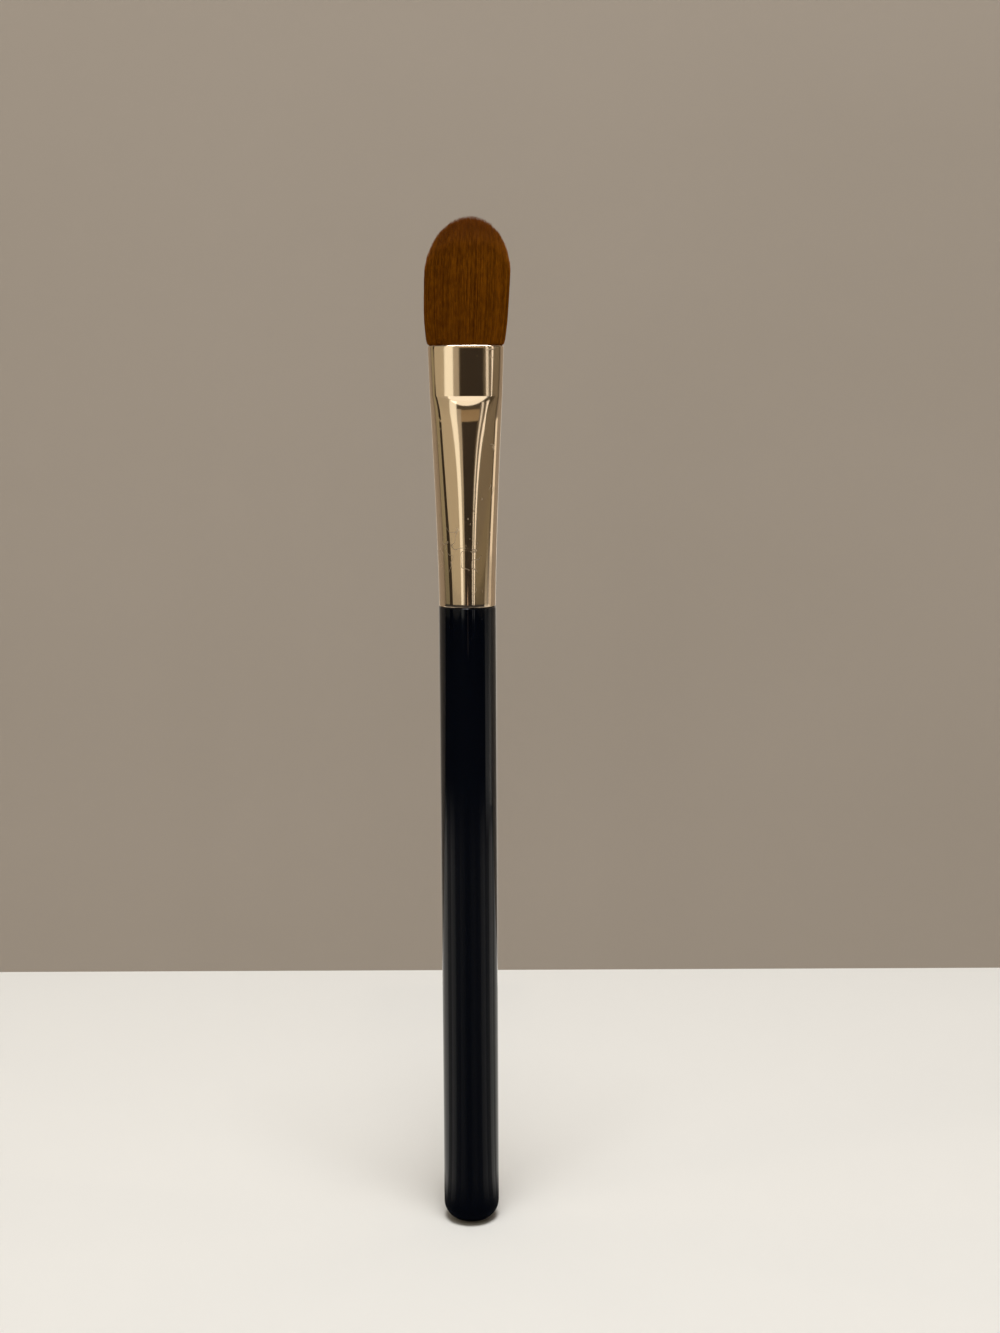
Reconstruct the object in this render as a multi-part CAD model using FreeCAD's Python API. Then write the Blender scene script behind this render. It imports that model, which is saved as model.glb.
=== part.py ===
import FreeCAD, Part
import math
import os

from FreeCAD import Vector

# Driving sizes in mm. Z runs up the brush from the butt, X across the flat of the hair, -Y to the front.
handle_dia = 8.6
handle_len = 97.0
butt_round_share = 0.64
shoulder_round = 0.2
tenon_share = 0.31
tenon_chamfer = 0.6
ferrule_len = 38.4
ferrule_wall = 0.35
ferrule_step = 0.05
rim_round = 0.2
lip_round_share = 0.8
flare_power = 1.4
band_len = 7.4
ledge_len = 4.0
ledge_power = 2.2
shoulder_width = 10.33
shoulder_thick = 6.75
mouth_width = 11.2
mouth_thick = 4.8
press_face_r = 17.0
hair_free_len = 18.6
hair_width = 12.7
hair_thick = 5.4
hair_belly_share = 0.56
hair_edge_share = 0.78
root_len_share = 0.5
root_flare = 0.3
thread_dia = 0.3
thread_pitch = 0.78
thread_turns = 5

# Clearances, and shares of the free space between tenon and ledge.
tenon_glue_gap = 0.12
root_wall_gap = 0.4
resin_skin = 0.15
thread_clear = 0.03
mouth_inset = 0.1
resin_drop_share = 0.14
resin_cover_share = 0.09

# Levels along Z.
tenon_top = handle_len + ferrule_len * tenon_share
mouth_z = handle_len + ferrule_len
crease_z = mouth_z - band_len
shoulder_z = crease_z - ledge_len
free_space = shoulder_z - tenon_top
resin_top = shoulder_z - free_space * resin_drop_share
root_len = free_space * root_len_share
root_end = resin_top - root_len
resin_bottom = root_end - free_space * resin_cover_share
tie_middle = resin_top - root_len / 2
tie_half_len = thread_pitch * thread_turns / 2 + thread_dia

# Half sizes of the tube's sections.
handle_r = handle_dia / 2
tube_r = handle_r - ferrule_step
shoulder_half_w = shoulder_width / 2
shoulder_half_t = shoulder_thick / 2
mouth_half_w = mouth_width / 2
mouth_half_t = mouth_thick / 2


def between(low, high, share):
    return low + (high - low) * share


def arcs_wire(half_w, half_t, edge_r, edge_x, lean, z):
    # Two face arcs and two edge arcs, tangent where they meet.
    x = edge_x + edge_r * math.sin(lean)
    y = edge_r * math.cos(lean)
    front_left = Vector(-x, -y, z)
    front_right = Vector(x, -y, z)
    back_right = Vector(x, y, z)
    back_left = Vector(-x, y, z)
    arcs = [
        Part.Arc(front_left, Vector(0, -half_t, z), front_right),
        Part.Arc(front_right, Vector(half_w, 0, z), back_right),
        Part.Arc(back_right, Vector(0, half_t, z), back_left),
        Part.Arc(back_left, Vector(-half_w, 0, z), front_left),
    ]
    return Part.Wire([arc.toShape() for arc in arcs])


def seam_lean(half_w, half_t, edge_r):
    # Lean of the seams between face arcs and edge arcs.
    edge_x = half_w - edge_r
    face_r = (edge_x ** 2 + half_t ** 2 - edge_r ** 2) / (2 * (half_t - edge_r))
    return math.atan2(edge_x, face_r - half_t)


def oval(half_w, half_t, edge_r, z):
    return arcs_wire(half_w, half_t, edge_r, half_w - edge_r, seam_lean(half_w, half_t, edge_r), z)


def circle(radius, lean, z):
    return arcs_wire(radius, radius, radius, 0, lean, z)


def slab(z_low, z_high):
    reach = mouth_width + handle_dia
    return Part.makeBox(2 * reach, 2 * reach, z_high - z_low, Vector(-reach, -reach, z_low))


# Ferrule: one tube, round at the handle, flaring to a shoulder and pressed flat above a ledge.
def flare_half(z, shoulder_half):
    # The flare's curve, carried on past the shoulder to the crease.
    return between(tube_r, shoulder_half, ((z - handle_len) / (shoulder_z - handle_len)) ** flare_power)


def flare_inside(z):
    return flare_half(z, shoulder_half_t) - ferrule_wall


def face_radius(z):
    # The faces flatten all the way from the round base to the crease.
    flat = ((z - handle_len) / (crease_z - handle_len)) ** flare_power
    return 1 / between(1 / tube_r, 1 / press_face_r, flat)


def ledge_drop(z):
    # The ledge leaves the shoulder slowly and ends steep at the crease.
    drop = flare_half(crease_z, shoulder_half_t) - mouth_half_t
    return drop * (max(z - shoulder_z, 0) / ledge_len) ** ledge_power


def edge_radius(half_w, half_t, face_r):
    return (2 * face_r * half_t - half_w ** 2 - half_t ** 2) / (2 * (face_r - half_w))


def tube_sizes(z):
    half_w = flare_half(z, shoulder_half_w)
    half_t = flare_half(z, shoulder_half_t) - ledge_drop(z)
    return half_w, half_t, edge_radius(half_w, half_t, face_radius(z))


def tube_section(z, inset):
    half_w, half_t, edge_r = tube_sizes(z)
    return oval(half_w - inset, half_t - inset, edge_r - inset, z)


def tube_base(inset):
    # A true circle, parted where the arcs of the section just above it meet.
    lean = seam_lean(*tube_sizes(handle_len + rim_round))
    return circle(tube_r - inset, lean, handle_len)


def tube_mouth(inset):
    edge_r = edge_radius(mouth_half_w, mouth_half_t, press_face_r)
    return oval(mouth_half_w - inset, mouth_half_t - inset, edge_r - inset, mouth_z)


def tube_solid(inset):
    # The tube's outside at inset 0, its inside at an inset of one wall.
    flare = [tube_base(inset)]
    flare += [tube_section(between(handle_len, shoulder_z, n / 6), inset) for n in range(1, 7)]
    ledge = [tube_section(between(shoulder_z, crease_z, n / 4), inset) for n in range(5)]
    lower = Part.makeLoft(flare, True, False)
    middle = Part.makeLoft(ledge, True, False)
    band = Part.makeLoft([ledge[-1], tube_mouth(inset)], True, True)
    return lower.fuse([middle, band])


def edges_at(shape, z):
    return [e for e in shape.Edges if e.BoundBox.ZLength < 0.001 and abs(e.BoundBox.ZMin - z) < 0.001]


def make_ferrule(cavity):
    outside = tube_solid(0)
    outside = outside.makeFillet(rim_round, edges_at(outside, handle_len))
    outside = outside.makeFillet(ferrule_wall * lip_round_share, edges_at(outside, mouth_z))
    return outside.cut(cavity)


# Handle: straight and round, domed at the butt, cut down to a tapered tenon.
def make_handle():
    butt_r = handle_r * butt_round_share
    tenon_base_r = tube_r - ferrule_wall - tenon_glue_gap
    tenon_top_r = flare_inside(tenon_top) - tenon_glue_gap
    bend = 1 - math.sqrt(0.5)
    butt_centre = Vector(0, 0, 0)
    butt_flat = Vector(handle_r - butt_r, 0, 0)
    butt_bend = Vector(handle_r - butt_r * bend, 0, butt_r * bend)
    side_low = Vector(handle_r, 0, butt_r)
    side_high = Vector(handle_r, 0, handle_len - shoulder_round)
    shoulder_bend = Vector(handle_r - shoulder_round * bend, 0, handle_len - shoulder_round * bend)
    shoulder = Vector(handle_r - shoulder_round, 0, handle_len)
    tenon_base = Vector(tenon_base_r, 0, handle_len)
    tenon_side = Vector(tenon_top_r, 0, tenon_top - tenon_chamfer)
    tenon_end = Vector(tenon_top_r - tenon_chamfer, 0, tenon_top)
    tenon_centre = Vector(0, 0, tenon_top)
    edges = [
        Part.makeLine(butt_centre, butt_flat),
        Part.Arc(butt_flat, butt_bend, side_low).toShape(),
        Part.makeLine(side_low, side_high),
        Part.Arc(side_high, shoulder_bend, shoulder).toShape(),
        Part.makeLine(shoulder, tenon_base),
        Part.makeLine(tenon_base, tenon_side),
        Part.makeLine(tenon_side, tenon_end),
        Part.makeLine(tenon_end, tenon_centre),
        Part.makeLine(tenon_centre, butt_centre),
    ]
    outline = Part.Face(Part.Wire(edges))
    return outline.revolve(Vector(0, 0, 0), Vector(0, 0, 1), 360)


# Hair: a tied root, a throat that fills the pressed mouth, and the free filbert above it.
tie_r = flare_inside(tie_middle + tie_half_len) - resin_skin - thread_dia - thread_clear
thread_reach = tie_r + thread_clear + thread_dia / 2


def free_half_width(height):
    # Swells quickly out of the mouth to the belly, then domes over to the tip.
    belly = hair_free_len * hair_belly_share
    root = mouth_half_w - ferrule_wall - mouth_inset
    if height < belly:
        return between(root, hair_width / 2, math.sin(height / belly * math.pi / 2) ** 0.28)
    rise = (height - belly) / (hair_free_len - belly)
    return hair_width / 2 * (1 - rise ** 1.8) ** 0.5


def free_half_thick(height):
    # From the side the belly sits lower and the hair thins to a soft edge.
    belly = hair_free_len * hair_belly_share * 0.6
    root = mouth_half_t - ferrule_wall - mouth_inset
    if height < belly:
        return between(root, hair_thick / 2, math.sin(height / belly * math.pi / 2) ** 0.6)
    rise = (height - belly) / (hair_free_len - belly)
    return hair_thick / 2 * (1 - rise ** 1.5) ** 0.7


def hair_section(share):
    height = hair_free_len * share
    half_t = free_half_thick(height)
    return oval(free_half_width(height), half_t, half_t * hair_edge_share, mouth_z + height)


def make_roots():
    # Drawn in to a round waist by the thread, and spread a little below it.
    top = tube_section(shoulder_z, ferrule_wall + root_wall_gap)
    waist_high = circle(tie_r, math.pi / 4, tie_middle + tie_half_len)
    waist_low = circle(tie_r, math.pi / 4, tie_middle - tie_half_len)
    end = circle(tie_r + root_flare, math.pi / 4, root_end)
    neck = Part.makeLoft([waist_high, top], True, True)
    waist = Part.makeLoft([waist_low, waist_high], True, True)
    foot = Part.makeLoft([end, waist_low], True, True)
    return neck.fuse([waist, foot])


def make_hair(cavity, roots):
    throat = cavity.common(slab(shoulder_z, mouth_z))
    shares = (0, 0.01, 0.03, 0.08, 0.2, 0.38, 0.56, 0.68, 0.8, 0.9, 0.96, 0.985)
    free = Part.makeLoft([hair_section(share) for share in shares], True, False)
    return throat.fuse([free, roots])


# Thread: one length wound round the waist, its turns made of tangent arcs.
def thread_point(turn):
    angle = turn * 2 * math.pi
    z = tie_middle + thread_pitch * (turn - thread_turns / 2)
    return Vector(thread_reach * math.cos(angle), thread_reach * math.sin(angle), z)


def thread_tangent(turn):
    angle = turn * 2 * math.pi
    rise = thread_pitch / (2 * math.pi * thread_reach)
    return Vector(-math.sin(angle), math.cos(angle), rise).normalize()


def arc_from(start, tangent, end):
    # Arc that leaves start along the tangent and ends at end.
    chord = end - start
    along = Vector(chord).normalize()
    out = tangent - along * tangent.dot(along)
    half_angle = math.atan2(out.Length, tangent.dot(along)) / 2
    middle = start + chord * 0.5 + out.normalize() * (chord.Length / 2 * math.tan(half_angle))
    return Part.Arc(start, middle, end).toShape()


def quarter_turn(turn):
    p = thread_point(turn)
    q = thread_point(turn + 0.25)
    u = thread_tangent(turn)
    v = thread_tangent(turn + 0.25)
    chord = q - p
    spread = 2 * (1 - u.dot(v))
    lean = chord.dot(u + v)
    reach = (math.sqrt(lean ** 2 + spread * chord.dot(chord)) - lean) / spread
    joint = (p + q + (u - v) * reach) * 0.5
    return [arc_from(p, u, joint), arc_from(q, v * -1, joint)]


def make_thread():
    first = thread_point(0)
    last = thread_point(thread_turns)
    start = first - thread_tangent(0) * thread_dia
    end = last + thread_tangent(thread_turns) * thread_dia
    edges = [Part.makeLine(start, first)]
    for quarter in range(4 * thread_turns):
        edges += quarter_turn(quarter / 4)
    edges.append(Part.makeLine(last, end))
    ring = Part.Wire(Part.makeCircle(thread_dia / 2, start, thread_tangent(0)))
    points = [thread_point(step / 16) for step in range(16 * thread_turns + 1)]
    gap = min(p.distanceToPoint(q) for n, p in enumerate(points) for q in points[n + 8:]) - thread_dia
    print("least gap of the thread to itself, mm:", round(gap, 3))
    return Part.Wire(edges).makePipeShell([ring], True, False)


# Adhesive: each body fills the tube between two levels, round what it holds.
def make_resin(cavity, roots):
    pocket_r = thread_reach + thread_dia / 2 + thread_clear
    pocket = Part.makeCylinder(pocket_r, 2 * tie_half_len, Vector(0, 0, tie_middle - tie_half_len))
    return cavity.common(slab(resin_bottom, resin_top)).cut(roots).cut(pocket)


def save(shape, name):
    solid = shape.removeSplitter().Solids[0]
    print(name, solid.isValid(), round(solid.Volume, 2))
    solid.exportStep("parts/" + name + ".step")


os.makedirs("parts", exist_ok=True)
handle = make_handle()
cavity = tube_solid(ferrule_wall)
roots = make_roots()
save(handle, "handle")
save(make_ferrule(cavity), "ferrule")
save(make_hair(cavity, roots), "hair_tuft")
save(make_thread(), "root_thread")
save(make_resin(cavity, roots), "root_glue")
save(cavity.common(slab(handle_len, tenon_top)).cut(handle), "tenon_glue")
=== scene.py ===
import math

import bpy
import numpy as np
from mathutils import Euler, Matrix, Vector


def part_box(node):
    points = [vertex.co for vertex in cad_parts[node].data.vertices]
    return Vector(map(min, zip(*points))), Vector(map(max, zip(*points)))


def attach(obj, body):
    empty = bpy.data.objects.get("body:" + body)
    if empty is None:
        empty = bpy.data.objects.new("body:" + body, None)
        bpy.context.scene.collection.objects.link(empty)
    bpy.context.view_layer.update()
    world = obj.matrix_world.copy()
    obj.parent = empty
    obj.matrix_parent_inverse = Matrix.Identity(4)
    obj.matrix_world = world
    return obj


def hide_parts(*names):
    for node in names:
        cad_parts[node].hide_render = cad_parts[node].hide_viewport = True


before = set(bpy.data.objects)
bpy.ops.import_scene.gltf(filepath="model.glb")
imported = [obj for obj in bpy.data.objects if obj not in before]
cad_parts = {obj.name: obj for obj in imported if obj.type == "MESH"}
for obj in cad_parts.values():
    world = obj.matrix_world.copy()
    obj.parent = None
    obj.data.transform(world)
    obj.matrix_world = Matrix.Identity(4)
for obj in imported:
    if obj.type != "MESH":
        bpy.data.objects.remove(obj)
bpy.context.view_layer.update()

mm = 0.001
rng = np.random.default_rng(11)
ferruleLow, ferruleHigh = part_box("ferrule")
baseZ = ferruleLow.z
mouthZ = ferruleHigh.z


class Sock:
    # a shader socket that joins in plain sums
    def __init__(self, out):
        self.out = out

    def add(self, kind, settings, inputs, output=0):
        tree = self.out.id_data
        node = tree.nodes.new(kind)
        for name, value in settings.items():
            setattr(node, name, value)
        for name, value in inputs.items():
            if isinstance(value, Sock):
                tree.links.new(value.out, node.inputs[name])
            else:
                node.inputs[name].default_value = value
        return Sock(node.outputs[output])

    def sum(self, operation, *others):
        return self.add("ShaderNodeMath", {"operation": operation}, dict(enumerate((self, *others))))

    def __add__(self, other):
        return self.sum("ADD", other)

    def __mul__(self, other):
        return self.sum("MULTIPLY", other)

    def __sub__(self, other):
        return self.sum("SUBTRACT", other)

    def __rsub__(self, other):
        return self.sum("MULTIPLY", -1.0).sum("ADD", other)

    __radd__ = __add__
    __rmul__ = __mul__

    def ramp(self, low, high):  # 0 below low, 1 above high, smooth between
        settings = {"interpolation_type": "SMOOTHSTEP"}
        return self.add("ShaderNodeMapRange", settings, {"Value": self, "From Min": low, "From Max": high})

    def mix(self, dark, light):  # colour between two others
        return self.add("ShaderNodeMix", {"data_type": "RGBA"}, {0: self, 6: dark, 7: light}, 2)

    def axis(self, name):
        return self.add("ShaderNodeSeparateXYZ", {}, {0: self}, name)

    def stretch(self, x, y, z):
        return self.add("ShaderNodeVectorMath", {"operation": "MULTIPLY"}, {0: self, 1: (x, y, z)})

    def noise(self, scale, detail=3.0, rough=0.5):
        inputs = {"Vector": self, "Scale": scale, "Detail": detail, "Roughness": rough}
        return self.add("ShaderNodeTexNoise", {}, inputs)

    def cells(self, scale):
        return self.add("ShaderNodeTexVoronoi", {}, {"Vector": self, "Scale": scale}, "Distance")

    def attribute(self, name):
        return self.add("ShaderNodeAttribute", {"attribute_name": name}, {}, "Fac")

    def bump(self, strength, depth):
        return self.add("ShaderNodeBump", {}, {"Height": self, "Strength": strength, "Distance": depth})


def newMaterial(name, **constants):
    mat = bpy.data.materials.new(name)
    mat.use_nodes = True
    shader = mat.node_tree.nodes["Principled BSDF"]
    for key, value in constants.items():
        shader.inputs[key.replace("_", " ")].default_value = value
    coords = mat.node_tree.nodes.new("ShaderNodeTexCoord")
    return mat, shader, Sock(coords.outputs["Object"])


def feed(shader, name, sock):
    shader.id_data.links.new(sock.out, shader.inputs[name])


def mottled(name, rough, scale, dark, light):  # soft patches of two close colours
    mat, shader, at = newMaterial(name, Roughness=rough)
    feed(shader, "Base Color", at.noise(scale).mix(dark, light))
    return mat


def dress(node, mat):
    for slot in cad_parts[node].material_slots:
        slot.material = mat


def between(low, high, share):
    return low + (high - low) * share


def take(ob, node, mat):  # a finished piece stands for its node
    ob.data.materials.append(mat)
    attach(ob, "root")
    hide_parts(node)


# handle: black lacquer over turned wood
handle = dict(
    lacquer=(0.0003, 0.001, 0.0032, 1), dust=(0.12, 0.12, 0.11, 1), shine=0.3, rough=0.02,
    peelScale=700.0, peelRough=0.03, peelBump=0.03, peelDepth=0.02 * mm,
    speckScale=700.0, speckSize=(0.03, 0.05), speckRough=0.3, speckShow=0.4,
    dustyScale=90.0, dustyFrom=(0.56, 0.66),
)
lacquer, shader, at = newMaterial("blackLacquer", Specular_IOR_Level=handle["shine"])
peel = at.stretch(1, 1, 0.4).noise(handle["peelScale"], 2.0)
dusty = at.noise(handle["dustyScale"]).ramp(*handle["dustyFrom"])
speck = (1 - at.cells(handle["speckScale"]).ramp(*handle["speckSize"])) * dusty
lacquerRough = peel * handle["peelRough"] + speck * handle["speckRough"] + handle["rough"]
feed(shader, "Roughness", lacquerRough)
feed(shader, "Base Color", (speck * handle["speckShow"]).mix(handle["lacquer"], handle["dust"]))
feed(shader, "Normal", peel.bump(handle["peelBump"], handle["peelDepth"]))
dress("handle", lacquer)
print("handle dressed")

# ferrule: a drawn tube, flaring to a shoulder and pressed flat above a ledge
ferrule = dict(
    around=192, flareRings=72, ledgeRings=36, bandRings=24, roundRings=6, insideRings=30,
    tubeR=4.25 * mm, wall=0.35 * mm, rim=0.2 * mm, lip=0.28 * mm, crease=0.04 * mm, merge=0.001 * mm,
    shoulderW=5.165 * mm, shoulderT=3.375 * mm, pressR=17.0 * mm, mouthW=5.6 * mm, mouthT=2.4 * mm,
    flarePower=1.4, leastFlare=0.002, ledge=4.0 * mm, ledgePower=2.2, band=7.4 * mm,
    gold=(0.86, 0.69, 0.5, 1), rough=0.02, drawnRough=0.05, hazeRough=0.06, wornRough=0.4,
    drawnBump=0.02, wornBump=0.05, bump=0.12, bumpDepth=0.05 * mm,
    dustSize=(0.09, 0.15), scratchWidth=(0.004, 0.012),
)
creaseUp = mouthZ - baseZ - ferrule["band"]
shoulderUp = creaseUp - ferrule["ledge"]


def flared(share):  # never quite 0, where the oval is a circle and has no edge arcs
    return max(share, ferrule["leastFlare"]) ** ferrule["flarePower"]


def flareHalf(up, shoulder):
    return between(ferrule["tubeR"], shoulder, flared(up / shoulderUp))


def tubeAt(up):  # half width, half thickness and face radius, up from the base
    f = ferrule
    creaseW = flareHalf(creaseUp, f["shoulderW"])
    if up >= creaseUp:
        return between(creaseW, f["mouthW"], (up - creaseUp) / f["band"]), f["mouthT"], f["pressR"]
    bend = between(1 / f["tubeR"], 1 / f["pressR"], flared(up / creaseUp))
    drop = flareHalf(creaseUp, f["shoulderT"]) - f["mouthT"]
    onLedge = max((up - shoulderUp) / f["ledge"], 0) ** f["ledgePower"]
    return flareHalf(up, f["shoulderW"]), flareHalf(up, f["shoulderT"]) - drop * onLedge, 1 / bend


def ovalRing(halfW, halfT, faceR, inset, around):
    # two face arcs and two edge arcs, stepped evenly along the outline
    edgeR = (2 * faceR * halfT - halfW ** 2 - halfT ** 2) / (2 * (faceR - halfW))
    lean = math.atan2(halfW - edgeR, faceR - halfT)
    edgeArc = edgeR * (math.pi / 2 - lean)
    quarterArc = edgeArc + faceR * lean
    step = np.linspace(0, quarterArc, around // 4 + 1)
    onEdge = step < edgeArc
    angle = np.where(onEdge, step / edgeR, math.pi / 2 - (quarterArc - step) / faceR)
    radius = np.where(onEdge, edgeR, faceR) - inset
    x = np.where(onEdge, halfW - edgeR, 0) + radius * np.cos(angle)
    y = np.where(onEdge, 0, halfT - faceR) + radius * np.sin(angle)
    quarter = np.stack([x, y], axis=1)
    half = np.concatenate([quarter, quarter[-2::-1] * (-1, 1)])
    return np.concatenate([half, half[-2:0:-1] * (1, -1)])


def tubeOutline():  # height and inset of every ring: up the outside, over the lip, down the bore
    f = ferrule
    top = mouthZ - baseZ
    turn = np.linspace(0, math.pi / 2, f["roundRings"])
    rimArc = np.stack([f["rim"] * (1 - np.cos(turn)), f["rim"] * (1 - np.sin(turn))], axis=1)
    lipArc = np.stack([top - f["lip"] * (1 - np.sin(turn)), f["lip"] * (1 - np.cos(turn))], axis=1)
    outside = np.concatenate([
        np.linspace(f["rim"], shoulderUp, f["flareRings"])[1:],
        np.linspace(shoulderUp, creaseUp - f["crease"], f["ledgeRings"])[1:],
        [creaseUp],
        np.linspace(creaseUp + f["crease"], top - f["lip"], f["bandRings"])[:-1],
    ])
    bore = np.linspace(top, 0, f["insideRings"])
    outsideRows = np.stack([outside, np.zeros(len(outside))], axis=1)
    boreRows = np.stack([bore, np.full(len(bore), f["wall"])], axis=1)
    return np.concatenate([rimArc, outsideRows, lipArc, boreRows, rimArc[:1]])


def pressFerrule():
    outline = tubeOutline()
    bpy.ops.object.select_all(action="DESELECT")
    bpy.ops.mesh.primitive_circle_add(vertices=ferrule["around"], radius=ferrule["tubeR"])
    ob = bpy.context.object
    ob.name = "ferrule_tube"
    bpy.ops.object.mode_set(mode="EDIT")
    bpy.ops.mesh.select_all(action="SELECT")
    for step in range(len(outline) - 1):
        bpy.ops.mesh.extrude_region_move(TRANSFORM_OT_translate={"value": (0, 0, 1)})
    bpy.ops.object.mode_set(mode="OBJECT")
    # every ring is set to its section of the tube
    places = np.array([v.co for v in ob.data.vertices])
    ring = np.rint(places[:, 2]).astype(int)
    turn = np.arctan2(places[:, 1], places[:, 0]) / (2 * math.pi) * ferrule["around"]
    turn = np.rint(turn).astype(int) % ferrule["around"]
    rows = np.array([ovalRing(*tubeAt(up), inset, ferrule["around"]) for up, inset in outline])
    places[:, :2] = rows[ring, turn]
    places[:, 2] = baseZ + outline[ring, 0]
    ob.data.vertices.foreach_set("co", places.astype(np.float32).reshape(-1))
    bpy.ops.object.mode_set(mode="EDIT")
    bpy.ops.mesh.select_all(action="SELECT")
    bpy.ops.mesh.remove_doubles(threshold=ferrule["merge"])
    bpy.ops.mesh.normals_make_consistent(inside=False)
    bpy.ops.object.mode_set(mode="OBJECT")
    bpy.ops.object.shade_smooth()
    return ob


gold, shader, at = newMaterial("goldPlate", Base_Color=ferrule["gold"], Metallic=1.0)
drawn = at.stretch(1, 1, 0.05).noise(2600.0, 3.0, 0.6)  # fine lines along the tube
haze = at.noise(260.0, 4.0)
uneven = at.stretch(1, 1, 0.5).noise(190.0, 2.0)
grains = 1 - at.stretch(1, 1, 0.6).cells(1000.0).ramp(*ferrule["dustSize"])
dust = grains * at.noise(110.0).ramp(0.5, 0.6)
hairlines = 1 - (at.noise(420.0, 1.0) - 0.5).sum("ABSOLUTE").ramp(*ferrule["scratchWidth"])
scratch = hairlines * at.noise(150.0, 2.0).ramp(0.6, 0.66)
worn = (dust + scratch).sum("MINIMUM", 1.0)
polish = drawn * ferrule["drawnRough"] + haze * ferrule["hazeRough"] + worn * ferrule["wornRough"]
feed(shader, "Roughness", polish + ferrule["rough"])
relief = drawn * ferrule["drawnBump"] + uneven + worn * ferrule["wornBump"]
feed(shader, "Normal", relief.bump(ferrule["bump"], ferrule["bumpDepth"]))
take(pressFerrule(), "ferrule", gold)
print("ferrule pressed")

# hidden pieces: material, roughness, scale of its patches and their two colours
hidden = dict(
    root_thread=("bindingThread", 0.9, 4000.0, (0.55, 0.5, 0.42, 1), (0.7, 0.66, 0.58, 1)),
    root_glue=("clearResin", 0.2, 600.0, (0.5, 0.37, 0.18, 1), (0.6, 0.47, 0.26, 1)),
    tenon_glue=("woodGlue", 0.6, 500.0, (0.66, 0.58, 0.42, 1), (0.76, 0.68, 0.52, 1)),
)
for node, finish in hidden.items():
    dress(node, mottled(*finish))
print("hidden pieces dressed")

# hair tuft: loose strands in locks, cut to a dome
tuft = dict(
    bundles=(  # piece, strands, inner and outer reach, from and to turn
        ("hair_front", 3500, 0.74, 1.0, 0.5, 1.0),
        ("hair_back", 3500, 0.74, 1.0, 0.0, 0.5),
        ("hair_inner", 3600, 0.0, 0.8, 0.0, 1.0),
    ),
    rings=8, rootSteps=(-0.13, -0.004, 0.014, 0.05, 0.18), strand=0.08 * mm, freeLen=18.6 * mm,
    strandSpread=(0.8, 1.2), taper=0.8, wave=0.04 * mm, waveTurns=(3, 7), stray=0.11 * mm,
    rootW=5.18 * mm, rootT=1.95 * mm, bellyW=6.3 * mm, bellyT=2.7 * mm, tipT=0.35 * mm,
    bellyShare=0.56, thickShare=0.34, follow=0.4, domePower=1.8, squarePower=0.9,
    lean=0.75 * mm, leanPower=1.5, tipRound=0.03, tipShort=0.03, tipRagged=0.02, tipLow=0.09,
    locks=500, lockFlat=0.3, lockDraw=0.25, lockTint=0.1, strandTint=0.24,
    dark=(0.09, 0.024, 0.0005, 1), light=(0.235, 0.073, 0.002, 1), red=(0.075, 0.017, 0.0005, 1),
)


def fanned(h, root, belly, share, power):  # half size of the tuft up to its belly
    return between(root, belly, np.sin(np.clip(h / share, 0, 1) * math.pi / 2) ** power)


def domed(h, share, power, close):  # 1 at the belly, 0 at the tip
    return (1 - np.clip((h - share) / (1 - share), 0, 1) ** power) ** close


def tuftWidth(h):
    dome = domed(h, tuft["bellyShare"], tuft["domePower"], 0.5)
    full = fanned(h, tuft["rootW"], tuft["bellyW"], tuft["bellyShare"], 0.28)
    return full * between(1, dome, tuft["follow"])


def tuftThick(h):
    full = fanned(h, tuft["rootT"], tuft["bellyT"], tuft["thickShare"], 0.6) - tuft["tipT"]
    return tuft["tipT"] + full * domed(h, tuft["thickShare"], 1.5, 0.7)


def oneStrand():
    bpy.ops.object.select_all(action="DESELECT")
    bpy.ops.mesh.primitive_circle_add(vertices=3, radius=1, fill_type="NGON")
    bpy.ops.object.mode_set(mode="EDIT")
    bpy.ops.mesh.select_all(action="SELECT")
    for step in range(tuft["rings"]):
        bpy.ops.mesh.extrude_region_move(TRANSFORM_OT_translate={"value": (0, 0, 1 / tuft["rings"])})
    bpy.ops.mesh.select_all(action="SELECT")
    bpy.ops.mesh.normals_make_consistent(inside=False)
    bpy.ops.object.mode_set(mode="OBJECT")
    ob = bpy.context.object
    points = np.array([v.co for v in ob.data.vertices])
    faces = [list(p.vertices) for p in ob.data.polygons]
    bpy.data.objects.remove(ob)
    return points, faces


def plantStrands(count, low, high, fromTurn, toTurn):
    # each strand's place in the tuft's section, and how high it ends on the dome
    angle = rng.uniform(fromTurn, toTurn, count) * 2 * math.pi
    radius = np.sqrt(rng.uniform(low ** 2, high ** 2, count))
    sideways = radius * np.sign(np.cos(angle)) * np.abs(np.cos(angle)) ** tuft["squarePower"]
    forward = radius * np.sign(np.sin(angle)) * np.abs(np.sin(angle)) ** tuft["squarePower"]
    reach = np.minimum(np.abs(sideways), 1)
    reach = reach * (1 - tuft["follow"]) / (1 - tuft["follow"] * reach)
    tip = between(tuft["bellyShare"], 1, (1 - reach ** 2) ** (1 / tuft["domePower"]))
    ragged = np.clip(rng.normal(-tuft["tipShort"], tuft["tipRagged"], count), -tuft["tipLow"], 0.0)
    return sideways, forward, tip - tuft["tipRound"] * forward ** 2 + ragged


def gatherLocks(sideways, forward):
    # neighbours share a lock and draw together towards its tip
    heads = rng.integers(0, len(sideways), tuft["locks"])
    apartX = sideways[:, None] - sideways[heads]
    apartY = forward[:, None] - forward[heads]
    lock = np.argmin(apartX ** 2 + tuft["lockFlat"] * apartY ** 2, axis=1)
    draw = (sideways[heads][lock] - sideways)[:, None] * tuft["lockDraw"]
    return lock, draw


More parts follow.
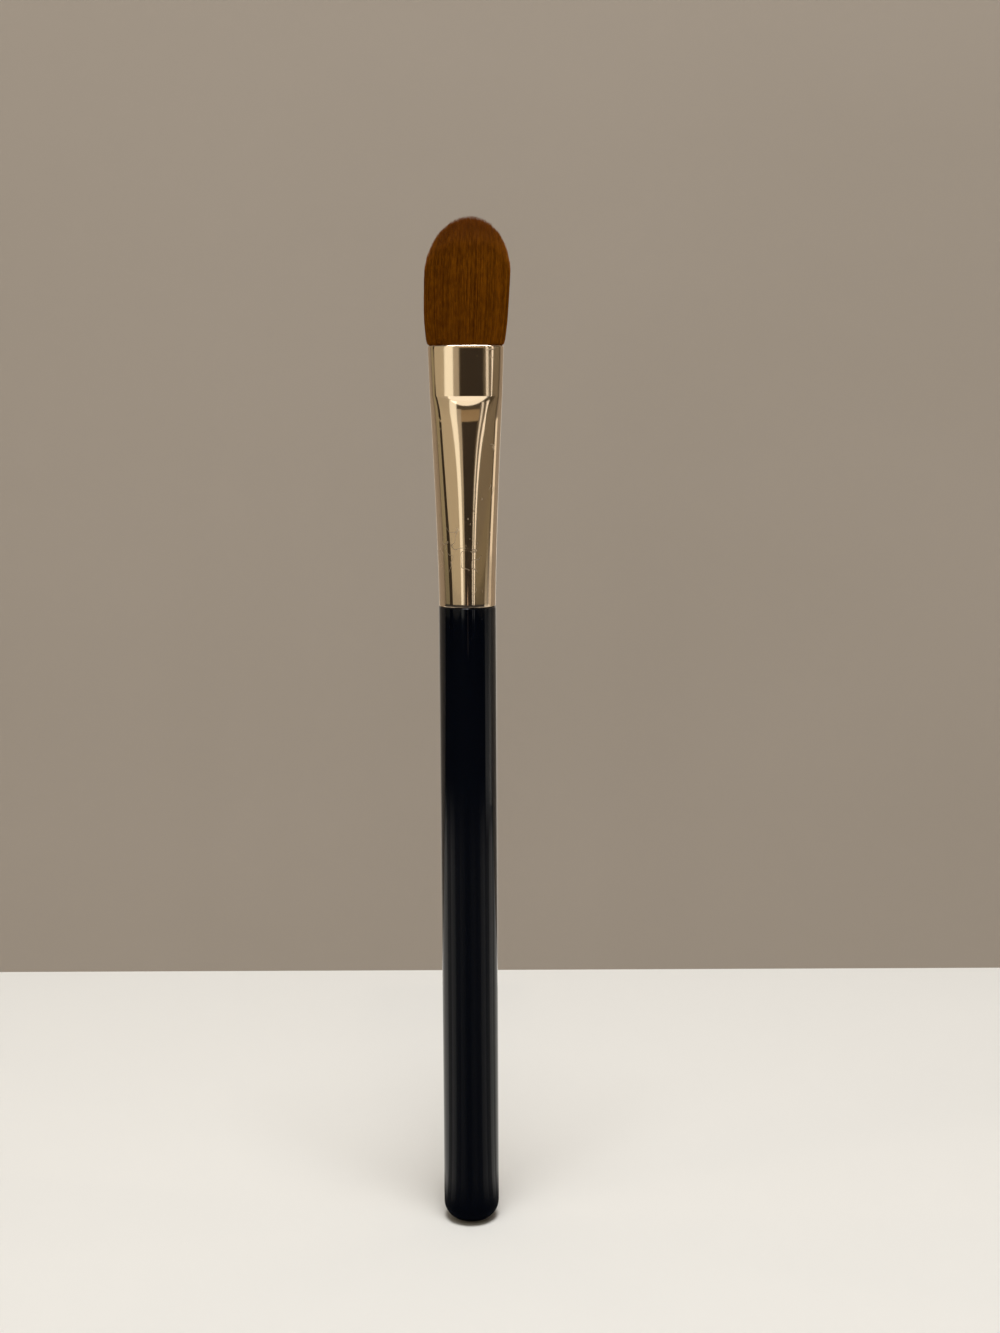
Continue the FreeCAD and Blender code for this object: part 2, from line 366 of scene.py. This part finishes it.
def growStrands(name, count, low, high, fromTurn, toTurn, mat):
    points, faces = oneStrand()
    sideways, forward, tip = plantStrands(count, low, high, fromTurn, toTurn)
    lock, draw = gatherLocks(sideways, forward)
    # the first rings stand at the root steps, the others share the rest of the strand
    along = points[:, 2]
    ring = np.rint(along * tuft["rings"]).astype(int)
    root = np.array(tuft["rootSteps"])
    rise = np.clip(ring - len(root) + 1, 0, None) / (tuft["rings"] - len(root) + 1)
    h = np.where(rise == 0, root[np.minimum(ring, len(root) - 1)], between(root[-1], tip[:, None], rise))
    up = np.clip(h, 0, 1)
    swing = up * rng.uniform(*tuft["waveTurns"], (count, 1)) + rng.uniform(0, 6.3, (count, 1))
    wave = tuft["wave"] * np.sin(swing) * up
    stray = rng.normal(0, tuft["stray"], (count, 1)) * up ** 2
    lean = tuft["lean"] * up ** tuft["leanPower"]
    x = (sideways[:, None] + draw * up ** 3) * tuftWidth(up) + wave + stray + lean
    y = forward[:, None] * tuftThick(up)
    z = mouthZ + tuft["freeLen"] * h
    spread = rng.uniform(*tuft["strandSpread"], (count, 1))
    thin = tuft["strand"] / 2 * spread * (1 - tuft["taper"] * along ** 4)
    twist = rng.uniform(0, 2 * math.pi, (count, 1))
    sideX = points[:, 0] * np.cos(twist) - points[:, 1] * np.sin(twist)
    sideY = points[:, 0] * np.sin(twist) + points[:, 1] * np.cos(twist)
    placed = np.stack([x + thin * sideX, y + thin * sideY, z], axis=2).reshape(-1, 3)
    shifted = [[i + n * len(points) for i in face] for n in range(count) for face in faces]
    mesh = bpy.data.meshes.new(name)
    mesh.from_pydata(placed.tolist(), [], shifted)
    lockTint = rng.normal(0, tuft["lockTint"], tuft["locks"])[lock]
    tint = np.clip(0.5 + lockTint + rng.normal(0, tuft["strandTint"], count), 0, 1)
    for label, values in (("tint", np.repeat(tint, len(points))), ("height", up.reshape(-1))):
        mesh.attributes.new(label, "FLOAT", "POINT").data.foreach_set("value", values.astype(np.float32))
    ob = bpy.data.objects.new(name, mesh)
    bpy.context.collection.objects.link(ob)
    bpy.ops.object.select_all(action="DESELECT")
    ob.select_set(True)
    bpy.context.view_layer.objects.active = ob
    bpy.ops.object.shade_smooth()
    take(ob, "hair_tuft", mat)


hairMat, shader, at = newMaterial("brownHair", Roughness=0.5, Specular_IOR_Level=0.025)
height = at.attribute("height")
toRight = at.axis("X").ramp(-tuft["bellyW"], tuft["bellyW"])
# painted highlights: paintedGlint adds lighter streaks along the strands, partly a mottled tone and partly
# painted glints; paintedSpark adds lighter specks where hairs glint
paintedGlint = at.stretch(1, 1, 0.35).noise(2600.0, 2.0).ramp(0.3, 0.7)
paintedSpark = at.stretch(1, 1, 0.5).noise(5200.0, 1.0).ramp(0.6, 0.72)
# painted light: the strands are painted lighter close to the mouth, against the shade there
paintedRootLight = 1 - height.ramp(0.0, 0.3)
tone = at.attribute("tint") * 0.75 + toRight * 0.22 + paintedGlint * 0.5 + paintedSpark * 0.5 + paintedRootLight * 0.1 - 0.24
brown = tone.mix(tuft["dark"], tuft["light"])
tipRed = height.ramp(0.62, 1.0)
feed(shader, "Base Color", (tipRed * 0.8).mix(brown, tuft["red"]))
for bundle in tuft["bundles"]:
    growStrands(*bundle, hairMat)
print("hair grown")

# stage: pale floor, a grey wall close behind that is clear from its back, a grey room all round,
# and a dark sheet and cards that only reflections show: painted shade and dark reflections
stage = dict(
    room=1.5, roomHigh=1.6, around=96, wallY=120 * mm, wallWide=2.6, wallHigh=1.2,
    cards=(  # angle, reach, width, low and high
        (5.0, 0.8, 0.35, 0.0, 0.24),
        (-67.0, 0.8, 0.2, 0.0, 0.142),
        (-67.0, 0.8, 0.2, 0.164, 0.9),
        (184.0, 0.11, 0.035, 0.0, 0.4),
    ),
    sheetUp=0.5 * mm, sheetNear=0.2, sheetFar=0.35, shadeNear=7 * mm, shadeFar=20 * mm,
    streaks=8.5, streakShift=0.63, sideFrom=(0.955, 0.97),
)


def seeThrough(mat, shader, mask):  # clear where the mask is 1
    clear = mask.add("ShaderNodeBsdfTransparent", {}, {})
    either = mask.add("ShaderNodeMixShader", {}, {0: mask, 1: Sock(shader.outputs["BSDF"]), 2: clear})
    mat.node_tree.links.new(either.out, mat.node_tree.nodes["Material Output"].inputs["Surface"])


floorMat = mottled("paleFloor", 0.55, 9.0, (0.8, 0.795, 0.775, 1), (0.83, 0.825, 0.805, 1))
roomMat = mottled("greyRoom", 0.9, 5.0, (0.3, 0.26, 0.19, 1), (0.34, 0.3, 0.22, 1))
cardMat = mottled("blackCard", 0.9, 5.0, (0.03, 0.022, 0.015, 1), (0.04, 0.03, 0.02, 1))
wallMat, shader, at = newMaterial("greyWall", Roughness=0.85)
feed(shader, "Base Color", at.noise(14.0).mix((0.34, 0.295, 0.25, 1), (0.38, 0.33, 0.285, 1)))
seeThrough(wallMat, shader, at.add("ShaderNodeNewGeometry", {}, {}, "Backfacing"))
# the sheet is painted shade in the reflections, in front of the brush and close under the butt;
# it is clear in streaks round the butt, and far out on the right
sheetMat, shader, at = newMaterial("darkSheet", Base_Color=(0.02, 0.02, 0.025, 1), Roughness=0.9)
away = at.add("ShaderNodeVectorMath", {"operation": "LENGTH"}, {0: at}, "Value")
toFront = at.axis("Y").sum("DIVIDE", away) * -1.0
toSide = at.axis("X").sum("DIVIDE", away)
turn = toSide.sum("ARCTAN2", toFront)
far = away.ramp(stage["sheetNear"], stage["sheetFar"])
near = away.ramp(stage["shadeNear"], stage["shadeFar"]) * (1 - far)
streaks = (turn * stage["streaks"] - stage["streakShift"]).sum("SINE").ramp(-0.4, 0.4)
atFront = toFront.ramp(-0.7, -0.4)
patches = near * (1 - toFront.ramp(-0.6, 1.3)) * ((streaks * 0.8 - 0.5) * atFront + 1.0)
seeThrough(sheetMat, shader, patches.sum("MAXIMUM", far * toSide.ramp(*stage["sideFrom"])))


def around(angle, reach, height):  # angle from the camera's side, right is positive
    turn = math.radians(angle)
    return (reach * math.sin(turn), -reach * math.cos(turn), height)


def setPiece(name, mat, scale=(1, 1, 1)):
    ob = bpy.context.object
    ob.name = name
    ob.scale = scale
    ob.data.materials.append(mat)
    return ob


def setDisc(name, mat, up):
    bpy.ops.mesh.primitive_circle_add(
        vertices=stage["around"], radius=stage["room"], fill_type="NGON", location=(0, 0, up))
    return setPiece(name, mat)


bpy.ops.object.select_all(action="DESELECT")
floor = setDisc("floor", floorMat, 0)
sheet = setDisc("sheet", sheetMat, stage["sheetUp"])
wallPlace = (0, stage["wallY"], stage["wallHigh"] / 2)
bpy.ops.mesh.primitive_plane_add(size=1, location=wallPlace, rotation=(math.pi / 2, 0, 0))
setPiece("wall", wallMat, (stage["wallWide"], stage["wallHigh"], 1))
bpy.ops.mesh.primitive_cylinder_add(
    vertices=stage["around"], radius=stage["room"], depth=stage["roomHigh"], end_fill_type="NOTHING",
    location=(0, 0, stage["roomHigh"] / 2))
setPiece("room", roomMat)
unseen = [sheet]
for angle, reach, wide, low, high in stage["cards"]:
    cardPlace = around(angle, reach, (low + high) / 2)
    cardTurn = (math.pi / 2, 0, math.radians(angle))
    bpy.ops.mesh.primitive_plane_add(size=1, location=cardPlace, rotation=cardTurn)
    unseen.append(setPiece("card", cardMat, (wide, high - low, 1)))
for ob in unseen:  # seen in reflections only
    ob.visible_camera = False
    ob.visible_diffuse = False
    ob.visible_shadow = False
print("stage set")

# camera: the photograph's, turned so that the brush stands upright
shot = dict(
    height=1333, focal=1600.0,  # pixels
    depth=241.8 * mm, pitch=7.8, level=87.75 * mm, across=4.85 * mm, roll=-0.25)
camera = bpy.data.cameras.new("camera")
camera.sensor_width = 36
camera.lens = shot["focal"] * camera.sensor_width / shot["height"]
camera.clip_start = 0.01
eye = bpy.data.objects.new("camera", camera)
bpy.context.collection.objects.link(eye)
pitch = math.radians(shot["pitch"])
eyeHeight = shot["level"] + shot["depth"] * math.sin(pitch)
eye.location = (shot["across"], -shot["depth"] * math.cos(pitch), eyeHeight)
upright = Euler((math.pi / 2 - pitch, 0, 0)).to_matrix()
eye.rotation_euler = (upright @ Euler((0, 0, math.radians(shot["roll"]))).to_matrix()).to_euler()
bpy.context.scene.camera = eye

# light: soft boxes overhead, upright panels and strips all round
lights = dict(
    sky=(0.5, 0.48, 0.46, 1), skyGlow=0.25,
    boxes=(  # name, place round the brush, width, height, glow, colour, tip, roll and shape
        ("keyLeft", (-14, 0.24, 1.05), 0.3, 0.3, 16, (1, 0.99, 0.97), 75, 0, "RECTANGLE"),
        ("keyRight", (24, 0.24, 1.05), 0.3, 0.3, 17, (1, 0.99, 0.97), 75, 0, "RECTANGLE"),
        ("ceiling", (1, 0.62, 0.86), 0.6, 0.5, 0.8, (1, 0.97, 0.88), 50, 8, "ELLIPSE"),
    ),
    panels=(  # name, from and to angle, low, high, glow, colour and reach
        ("panelFar", -96, -69, 0.0, 0.8, 0.18, (1, 0.9, 0.58), 0.9),
        ("panelLeft", -65, -23, 0.0, 1.3, 0.35, (1, 0.88, 0.66), 0.9),
        ("patch", -8, 18, 0.24, 0.6, 0.2, (1, 0.69, 0.37), 0.9),
        ("panelRight", 31, 86, 0.0, 0.08, 0.1, (1, 0.82, 0.5), 0.9),
        ("panelHigh", 31, 86, 0.08, 0.6, 0.07, (1, 0.82, 0.62), 0.9),
    ),
    strips=(  # the same, and they leave no patches on the floor
        ("stripLeft", -23, -14, 0.0, 0.95, 0.95, (1, 0.98, 0.87), 0.9),
        ("stripSoft", -14, -8, 0.0, 0.62, 0.3, (1, 0.9, 0.75), 0.9),
        ("stripRightA", 20, 22.5, 0.0, 0.85, 0.8, (1, 0.95, 0.88), 0.9),
        ("stripRightB", 26, 30, 0.0, 0.85, 1.0, (1, 0.95, 0.88), 0.9),
        ("stripLow", 1, 3.5, 0.0, 0.06, 0.5, (1, 0.75, 0.55), 0.7),
        ("stripSide", 95, 111, 0.08, 0.125, 0.7, (1, 0.92, 0.8), 0.3),
        ("stripSideLow", 95, 111, 0.0, 0.08, 0.35, (1, 0.92, 0.8), 0.3),
        ("stripBackA", 161, 171, 0.0, 0.4, 0.8, (1, 0.95, 0.88), 0.11),
        ("stripBackB", 198, 203, 0.0, 0.4, 0.9, (1, 0.95, 0.88), 0.11),
    ),
)


def area(name, place, width, height, glow, colour, tip=0, roll=0, shape="RECTANGLE"):
    light = bpy.data.lights.new(name, "AREA")
    light.shape = shape
    light.size = width
    light.size_y = height
    light.energy = glow * math.pi * width * height
    light.color = colour
    lamp = bpy.data.objects.new(name, light)
    bpy.context.collection.objects.link(lamp)
    lamp.location = place
    turn = math.atan2(place[0], -place[1])
    facing = Euler((math.pi / 2 - math.radians(tip), 0, turn)).to_matrix()
    lamp.rotation_euler = (facing @ Euler((0, 0, math.radians(roll))).to_matrix()).to_euler()
    lamp.visible_camera = False
    return lamp


def panel(name, fromAngle, toAngle, low, high, glow, colour, reach):
    width = 2 * reach * math.tan(math.radians(toAngle - fromAngle) / 2)
    place = around((fromAngle + toAngle) / 2, reach, (low + high) / 2)
    return area(name, place, width, high - low, glow, colour)


for name, spot, *rest in lights["boxes"]:
    area(name, around(*spot), *rest)
for row in lights["panels"]:
    panel(*row)
offFloor = bpy.data.collections.new("offFloor")
offFloor.objects.link(floor)
offFloor.collection_objects[0].light_linking.link_state = "EXCLUDE"
for row in lights["strips"]:
    panel(*row).light_linking.receiver_collection = offFloor
world = bpy.data.worlds.new("world")
bpy.context.scene.world = world
world.use_nodes = True
sky = world.node_tree.nodes["Background"]
sky.inputs["Color"].default_value = lights["sky"]
sky.inputs["Strength"].default_value = lights["skyGlow"]
bpy.context.scene.view_settings.view_transform = "Standard"
print("camera and lights set")
